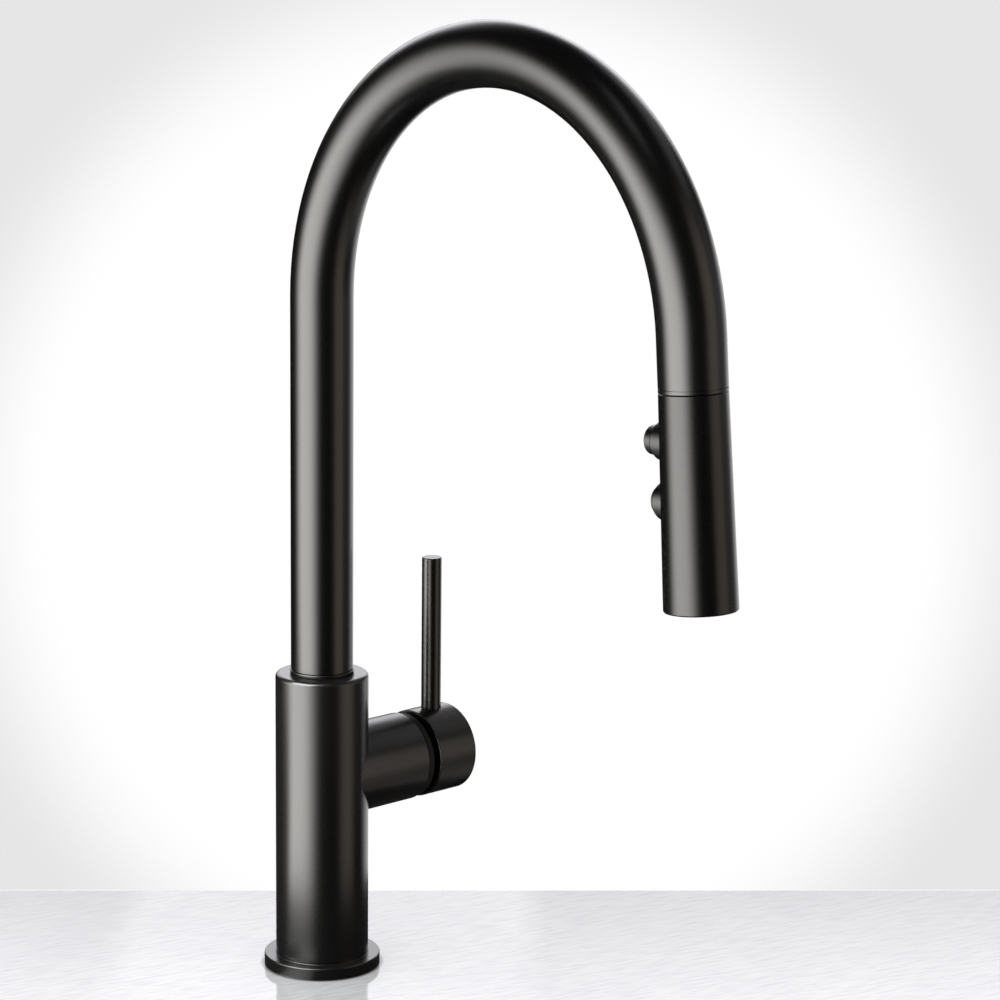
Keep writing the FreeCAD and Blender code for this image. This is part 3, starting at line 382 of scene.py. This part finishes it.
def mirrored_worktop(s, place, reach):
    """What the black metal sees of the floor, a glowing painted reflection: bright towards the main soft box, dark
    out to the left and behind as far as the body sees, and nothing farther out."""

    def facing(side, cosines):
        towards = s.vector("DOT_PRODUCT", place, level_direction(side))
        return s.spread(s.math("DIVIDE", towards, reach), 0.0, 1.0, *cosines)

    glint = s.math("MULTIPLY", facing(GLINT_SIDE, GLINT_COSINES), GLINT_GAIN)
    main = facing(MAIN_BOX_SIDE, MAIN_BOX_COSINES)
    dark = s.math("MULTIPLY", facing(DARK_SIDE, DARK_COSINES), s.math("LESS_THAN", reach, DARK_REACH))
    # The flange's side sees the closest part of the stone and the body sees the rest.
    beyond = s.spread(reach, 0.0, 1.0, *GLINT_RANGE)
    light = s.math("ADD", s.math("MULTIPLY", glint, s.math("SUBTRACT", 1.0, beyond)),
                   s.math("MULTIPLY", main, beyond))
    fade = s.spread(reach, 1.0, MIRRORED_END, MIRRORED_FADE, REFLECTED_FLOOR)
    strength = s.math("ADD", s.math("MULTIPLY", s.math("MULTIPLY", light, fade), MIRRORED_LIGHT),
                      MIRRORED_FLOOR)
    # Painted reflection: the floor glows with this light only for glossy rays.
    mirrored_glow = s.node("Emission", Color=WHITE, Strength=strength)
    clear = s.node("BsdfTransparent")
    far = s.math("MULTIPLY", s.math("GREATER_THAN", reach, REFLECTED_FLOOR), s.math("SUBTRACT", 1.0, dark))
    return s.mix(far, mirrored_glow.outputs[0], clear.outputs[0])


def worktop():
    """A pale, faintly veined polished stone that turns into a plain white sweep behind."""
    s = Shader.of_material("worktop")
    place = s.place()
    reach = s.vector("LENGTH", place)
    depth = s.vector("DOT_PRODUCT", place, level_direction(EDGE_SIDE))
    # From the photo's side the stone ends in a straight edge; from elsewhere it fades out all round.
    level = s.vector("MULTIPLY", s.node("NewGeometry").outputs["Incoming"], (1.0, 1.0, 0.0))
    match = s.vector("DOT_PRODUCT", s.vector("NORMALIZE", level), level_direction(0))
    front = s.spread(match, 0.0, 1.0, *FRONT_COSINES)
    aside = s.math("SUBTRACT", 1.0, front)
    stone = s.math("ADD", s.math("MULTIPLY", s.math("LESS_THAN", depth, STONE_END), front),
                   s.math("MULTIPLY", s.spread(reach, 1.0, 0.0, *STONE_FADE), aside))
    cloud = s.noise(STONE_CLOUD, *STONE_NOISE)
    colour = stone_colour(s, place, reach, depth, front, cloud)
    base = s.node("BsdfDiffuse", Color=s.blend(stone, WHITE, colour))
    polish = s.node("BsdfGlossy", Color=WHITE, Roughness=s.spread(cloud, *POLISH_ROUGH))
    polished = s.mix(s.math("MULTIPLY", stone, POLISH), base.outputs[0], polish.outputs[0])
    # The sweep behind is lit evenly, so it is shown as plain white and shades off to the corners.
    window = s.node("TexCoord").outputs["Window"]
    shade = s.spread(s.vector("DISTANCE", window, BRIGHT_CENTRE), 1.0, CORNER_LIGHT, *BRIGHT_RANGE, True)
    # The worktop's far edge carries a thin painted highlight, a bright line.
    arris_highlight = s.math("MULTIPLY", s.math("LESS_THAN", depth, STONE_END + ARRIS), ARRIS_LIGHT)
    sweep = s.node("Emission", Strength=s.math("MAXIMUM", s.math("MAXIMUM", shade, arris_highlight), aside))
    lit = s.mix(s.math("SUBTRACT", 1.0, stone), polished, sweep.outputs[0])
    rays = s.node("LightPath")
    return s.surface(s.mix(rays.outputs["Is Glossy Ray"], lit, mirrored_worktop(s, place, reach)))


floor_mesh = bpy.data.meshes.new("floor")
floor_mesh.from_pydata(
    [(-FLOOR_HALF, -FLOOR_HALF, 0), (FLOOR_HALF, -FLOOR_HALF, 0), (FLOOR_HALF, FLOOR_HALF, 0),
     (-FLOOR_HALF, FLOOR_HALF, 0)], [], [(0, 1, 2, 3)])
floor = bpy.data.objects.new("floor", floor_mesh)
bpy.context.scene.collection.objects.link(floor)
paint(floor, worktop())


# ---------------------------------------------------------------- studio light
# Strength, colour, degrees round from the camera (right is positive) and degrees up from level.
# Each range of degrees gives where the box starts, is full, is full to and ends.
SOFT_BOXES = (
    (10.5, (1.0, 0.985, 0.95), (-110, -72, -46, -3), (-66, -15, -2, 35)),
    (0.8, (0.98, 0.97, 1.0), (-40, -16, 6, 24), (54, 66, 84, 90)),
    (1.1, (1.0, 0.86, 0.72), (42, 58, 74, 94), (-70, -10, 20, 50)),
    (0.35, (1.0, 0.97, 0.95), (70, 84, 110, 125), (-15, -5, 20, 30)),
    (0.4, (1.0, 0.97, 0.95), (84, 96, 130, 150), (-55, -44, -30, -22)),
    (0.5, (0.98, 0.97, 1.0), (84, 100, 150, 170), (26, 36, 50, 60)),
    # The boxes behind meet half a turn round, so their ends lie just past it.
    (1.4, (1.0, 0.98, 1.0), (115, 140, 181, 182), (-30, -20, 4, 10)),
    (3.2, (0.97, 0.96, 1.0), (140, 160, 181, 182), (4, 14, 24, 40)),
    (3.2, (0.97, 0.96, 1.0), (-182, -181, -160, -140), (4, 14, 24, 40)),
)
RIM_BOX_SIDE = -54          # the light on the rims, degrees round from the camera
RIM_BOX_UP = 42             # degrees up from level
RIM_BOX_SIZE = 0.9
RIM_BOX_POWER = 48.0
RIM_LIT = ("valve_body", "base_flange", "spout_foot")


def studio():
    """A studio of soft boxes.  Matt surfaces get an even white light; glossy ones see the boxes."""
    world = bpy.data.worlds.new("studio")
    bpy.context.scene.world = world
    world.use_nodes = True
    s = Shader(world.node_tree)
    turn = s.node("VectorRotate", Vector=s.node("TexCoord").outputs["Generated"], Angle=-YAW)
    turn.rotation_type = "Z_AXIS"
    split = s.node("SeparateXYZ", Vector=turn.outputs[0])
    degree = 180 / math.pi
    away = s.math("MULTIPLY", split.outputs["Y"], -1.0)
    around = s.math("MULTIPLY", s.math("ARCTAN2", split.outputs["X"], away), degree)
    lift = s.math("MULTIPLY", s.math("ARCSINE", split.outputs["Z"]), degree)

    def band(value, zero, full, full_end, zero_end):
        """Rises from 0 at zero to 1 at full, and falls from full_end to zero_end."""
        rise = s.spread(value, 0.0, 1.0, zero, full, True)
        fall = s.math("SUBTRACT", 1.0, s.spread(value, 0.0, 1.0, full_end, zero_end, True))
        return s.math("MULTIPLY", rise, fall)

    total = None
    for strength, colour, round_, up in SOFT_BOXES:
        amount = s.math("MULTIPLY", s.math("MULTIPLY", band(around, *round_), band(lift, *up)), strength)
        box = s.vector("MULTIPLY", colour, amount)
        total = box if total is None else s.vector("ADD", total, box)
    even = s.node("Background", Color=WHITE)
    boxed = s.node("Background", Color=total)
    chosen = s.mix(s.node("LightPath").outputs["Is Glossy Ray"], even.outputs[0], boxed.outputs[0])
    s.node("OutputWorld", Surface=chosen)


def rim_light():
    """A soft box high on the camera's left that lights only the rounded rims of the body."""
    data = bpy.data.lights.new("rim", "AREA")
    data.size = RIM_BOX_SIZE
    data.energy = RIM_BOX_POWER
    data.diffuse_factor = 0.0
    light = bpy.data.objects.new("rim", data)
    bpy.context.scene.collection.objects.link(light)
    lift = math.radians(RIM_BOX_UP)
    toward = level_direction(RIM_BOX_SIDE) * math.cos(lift) + Vector((0, 0, math.sin(lift)))
    light.location = Vector((0, 0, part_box("valve_body")[1].z)) + toward
    light.rotation_euler = toward.to_track_quat("Z", "Y").to_euler()
    receivers = bpy.data.collections.new("rim_lit")
    for node in RIM_LIT:
        receivers.objects.link(frame["nodes"][node])
    light.light_linking.receiver_collection = receivers


studio()
rim_light()
bpy.context.scene.view_settings.view_transform = "Standard"
